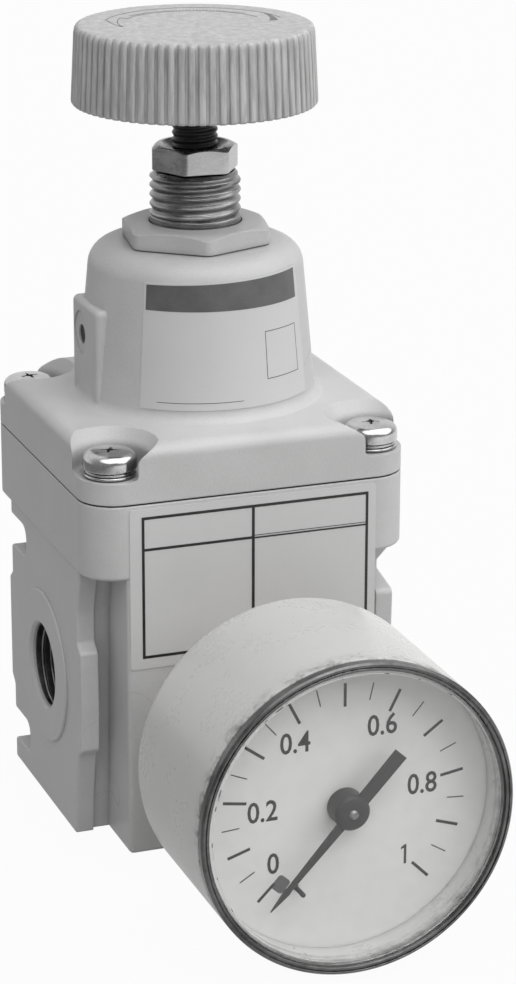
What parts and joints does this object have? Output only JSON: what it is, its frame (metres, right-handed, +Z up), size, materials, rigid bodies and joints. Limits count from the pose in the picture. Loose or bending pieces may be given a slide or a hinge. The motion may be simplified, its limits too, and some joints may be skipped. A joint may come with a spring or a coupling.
{
  "type": "precision pressure regulator",
  "caption": "Precision air pressure regulator with square body, conical bonnet, ribbed adjusting knob and front dial gauge; ports open on both sides.",
  "frame": {"origin": "centre of the bottom cap's flat face, on the axis of the knob", "axes": "+Z up along the knob's axis; the gauge faces -Y; the inlet opens towards -X and the outlet towards +X"},
  "size_m": [0.05, 0.0923, 0.1225],
  "materials": {
    "casting_paint": "light grey enamel on a die casting, fine orange peel",
    "gauge_paint": "off-white enamel, lightly worn",
    "knob_plastic": "satin moulded plastic",
    "steel": "turned steel",
    "chrome": "bright plated",
    "black_steel": "black oxide",
    "aluminium": "machined",
    "brass": "machined",
    "rubber": "matt",
    "dial_paint": "matt white print",
    "black_paint": "matt black",
    "clear": "clear moulded crystal"
  },
  "bodies": {
    "housing": {"body_casting": "casting_paint", "bonnet": "casting_paint", "bottom_cap": "aluminium", "cap_o_ring": "rubber", "nozzle_block": "aluminium", "nozzle": "brass", "main_diaphragm": "rubber", "control_diaphragm": "rubber", "valve_spring": "steel", "set_spring": "steel", "neck_bushing": "steel", "panel_nut": "casting_paint", "rear_port_plug": "steel", "gauge_socket": "brass", "gauge_case": "gauge_paint", "gauge_lens": "clear", "gauge_dial": "dial_paint", "stop_pin": "black_steel", "bourdon_tube": "brass", "movement_front_plate": "brass", "movement_back_plate": "brass", "movement_pillar_left": "brass", "movement_pillar_right": "brass", "bonnet_screw_1": "chrome", "bonnet_screw_2": "chrome", "bonnet_screw_3": "chrome", "bonnet_screw_4": "chrome", "spring_washer_1": "chrome", "spring_washer_2": "chrome", "spring_washer_3": "chrome", "spring_washer_4": "chrome"},
    "lock_nut": {"lock_nut": "steel"},
    "spring_seat": {"upper_spring_seat": "aluminium", "thrust_ball": "chrome"},
    "knob": {"knob": "knob_plastic", "adjusting_screw": "black_steel"},
    "flapper": {"flapper": "steel", "lower_spring_seat": "aluminium"},
    "main_plates": {"diaphragm_stem": "brass", "diaphragm_plate": "aluminium", "stem_nut": "steel"},
    "valve": {"main_valve": "brass"},
    "pointer": {"pointer": "black_paint", "pinion_arbor": "brass"},
    "sector": {"sector_gear": "brass"}
  },
  "joints": [
    {"name": "lock_nut_turn", "type": "hinge", "parent": "housing", "child": "lock_nut", "pos_m": [0, 0, 0.10295], "axis": [0, 0, 1], "range_deg": [0, 180]},
    {"name": "seat_travel", "type": "slide", "parent": "housing", "child": "spring_seat", "axis": [0, 0, 1], "range_m": [-0.00551, 0], "deforming": ["set_spring"]},
    {"name": "knob_turn", "type": "hinge", "parent": "spring_seat", "child": "knob", "pos_m": [0, 0, 0.1168], "axis": [0, 0, 1], "range_deg": [-1980, 0]},
    {"name": "flapper_lift", "type": "slide", "parent": "housing", "child": "flapper", "axis": [0, 0, 1], "range_m": [-0.0002, 0], "stiffness_N_per_m": 2000, "springref_m": 0.0003, "deforming": ["control_diaphragm"]},
    {"name": "diaphragm_stroke", "type": "slide", "parent": "housing", "child": "main_plates", "axis": [0, 0, 1], "range_m": [-0.0012, 0], "stiffness_N_per_m": 600, "springref_m": 0.001, "deforming": ["main_diaphragm"]},
    {"name": "valve_lift", "type": "slide", "parent": "housing", "child": "valve", "axis": [0, 0, 1], "range_m": [-0.0012, 0], "stiffness_N_per_m": 900, "springref_m": 0.003, "deforming": ["valve_spring"]},
    {"name": "pointer_sweep", "type": "hinge", "parent": "housing", "child": "pointer", "pos_m": [0, -0.0608, 0.0243], "axis": [0, 1, 0], "range_deg": [0, 270.1]},
    {"name": "sector_turn", "type": "hinge", "parent": "housing", "child": "sector", "pos_m": [0, -0.0554, 0.0096], "axis": [0, 1, 0], "range_deg": [-45, 0], "stiffness_Nm_per_rad": 0.00072, "springref_deg": 4.76}
  ],
  "couplings": [
    {"joint": "seat_travel", "follows": "knob_turn", "m_per_rad": 0.00015915},
    {"joint": "valve_lift", "follows": "diaphragm_stroke", "ratio": 1},
    {"joint": "pointer_sweep", "follows": "sector_turn", "ratio": -6}
  ]
}
